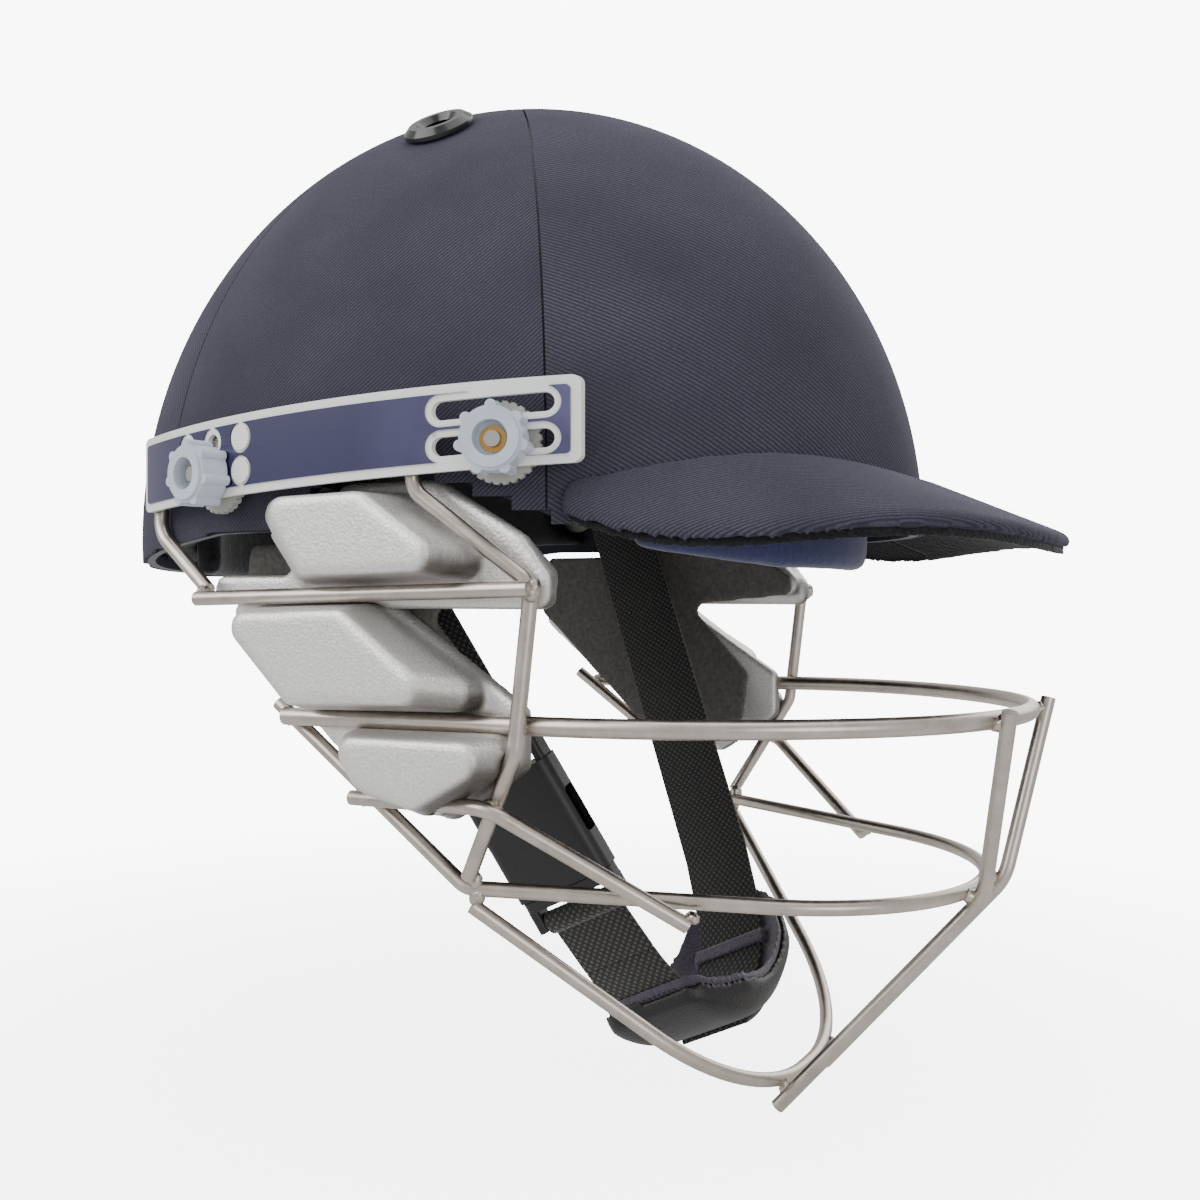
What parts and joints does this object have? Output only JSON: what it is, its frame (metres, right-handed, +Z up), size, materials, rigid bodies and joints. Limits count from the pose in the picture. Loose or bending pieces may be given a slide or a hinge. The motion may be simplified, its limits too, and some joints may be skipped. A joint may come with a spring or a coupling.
{
  "type": "batting helmet",
  "caption": "Cloth covered batting helmet with a peak, a welded wire face grille on two side plates, moulded ear guards and a webbing chin strap with a sliding cup.",
  "frame": {"origin": "middle of the head opening at brow level, where the head sits", "axes": "+Z up, the wearer faces -Y, +X is the wearer's left"},
  "size_m": [0.2308, 0.3097, 0.3024],
  "materials": {
    "navy_twill": "matt twill cloth",
    "shell_plastic": "moulded",
    "liner_foam": "moulded foam bead",
    "black_mesh": "knitted mesh",
    "navy_mesh": "knitted mesh",
    "peak_board": "moulded",
    "black_lining": "matt cloth",
    "navy_plastic": "moulded",
    "white_plastic": "moulded",
    "blue_label": "printed film",
    "clear_plastic": "frosted",
    "pale_knob": "moulded",
    "brass": "turned",
    "steel": "plated",
    "grille_steel": "satin nickel",
    "silver_foam": "grained silver skin",
    "grey_foam": "soft foam",
    "black_plastic": "moulded",
    "black_webbing": "woven webbing",
    "cup_leather": "soft black",
    "cup_fleece": "brushed fleece"
  },
  "bodies": {
    "helmet": {"hard_shell": "shell_plastic", "impact_liner": "liner_foam", "peak_top_cover": "navy_twill", "peak_board": "peak_board", "peak_underside": "black_lining", "hole_plugs": "white_plastic", "plate_bolts": "steel", "toothed_washers": "clear_plastic", "strap_anchors": "black_plastic", "strap_rivets": "steel", "cover_front": "navy_twill", "cover_rear": "navy_twill", "cover_left": "navy_twill", "cover_right": "navy_twill", "brow_pad": "navy_mesh", "left_temple_pad": "black_mesh", "right_temple_pad": "black_mesh", "nape_pad": "black_mesh", "crown_pad": "black_mesh", "top_ring_wire": "grille_steel", "lower_ring_wire": "grille_steel", "chin_loop_wire": "grille_steel", "left_side_bar": "grille_steel", "left_diagonal_wire": "grille_steel", "left_ear_rail": "grille_steel", "left_rear_hanger": "grille_steel", "left_front_bar": "grille_steel", "right_side_bar": "grille_steel", "right_diagonal_wire": "grille_steel", "right_ear_rail": "grille_steel", "right_rear_hanger": "grille_steel", "right_front_bar": "grille_steel", "left_vent_ring": "navy_plastic", "left_side_plate": "white_plastic", "left_plate_label": "blue_label", "left_upper_ear_pad": "silver_foam", "left_lower_ear_pad": "silver_foam", "left_ear_lining": "grey_foam", "right_vent_ring": "navy_plastic", "right_side_plate": "white_plastic", "right_plate_label": "blue_label", "right_upper_ear_pad": "silver_foam", "right_lower_ear_pad": "silver_foam", "right_ear_lining": "grey_foam"},
    "left_front_thumb_nut": {"left_front_knob": "pale_knob", "left_front_knob_insert": "brass"},
    "left_rear_thumb_nut": {"left_rear_knob": "pale_knob", "left_rear_knob_insert": "brass"},
    "right_front_thumb_nut": {"right_front_knob": "pale_knob", "right_front_knob_insert": "brass"},
    "right_rear_thumb_nut": {"right_rear_knob": "pale_knob", "right_rear_knob_insert": "brass"},
    "chin_strap": {"chin_webbing": "black_webbing", "right_webbing": "black_webbing", "clip_webbing": "black_webbing", "buckle_housing": "black_plastic"},
    "strap_clip": {"buckle_clip": "black_plastic"},
    "sliding_cup": {"chin_cup": "cup_leather", "chin_cup_lining": "cup_fleece", "chin_cup_band": "black_webbing"}
  },
  "joints": [
    {"name": "right_front_nut_turn", "type": "hinge", "parent": "helmet", "child": "right_front_thumb_nut", "pos_m": [-0.09643, -0.058, 0.02002], "axis": [-0.9397, -0.342, 0], "continuous": true},
    {"name": "right_rear_nut_turn", "type": "hinge", "parent": "helmet", "child": "right_rear_thumb_nut", "pos_m": [-0.10346, 0.0304, 0.015], "axis": [-0.9863, 0.165, 0], "continuous": true},
    {"name": "left_front_nut_turn", "type": "hinge", "parent": "helmet", "child": "left_front_thumb_nut", "pos_m": [0.09643, -0.058, 0.02002], "axis": [0.9397, -0.342, 0], "continuous": true},
    {"name": "left_rear_nut_turn", "type": "hinge", "parent": "helmet", "child": "left_rear_thumb_nut", "pos_m": [0.10346, 0.0304, 0.015], "axis": [0.9863, 0.165, 0], "continuous": true},
    {"name": "strap_swing", "type": "hinge", "parent": "helmet", "child": "chin_strap", "pos_m": [0, 0.00855, 0.01953], "axis": [1, 0, 0], "range_deg": [-8, 22]},
    {"name": "clip_pull", "type": "slide", "parent": "chin_strap", "child": "strap_clip", "axis": [0.265, -0.4227, -0.8667], "range_m": [0, 0.01], "deforming": ["clip_webbing"]},
    {"name": "cup_slide", "type": "hinge", "parent": "chin_strap", "child": "sliding_cup", "pos_m": [0, -0.05304, -0.10675], "axis": [0, -0.8988, 0.4384], "range_deg": [-18, 0]}
  ]
}
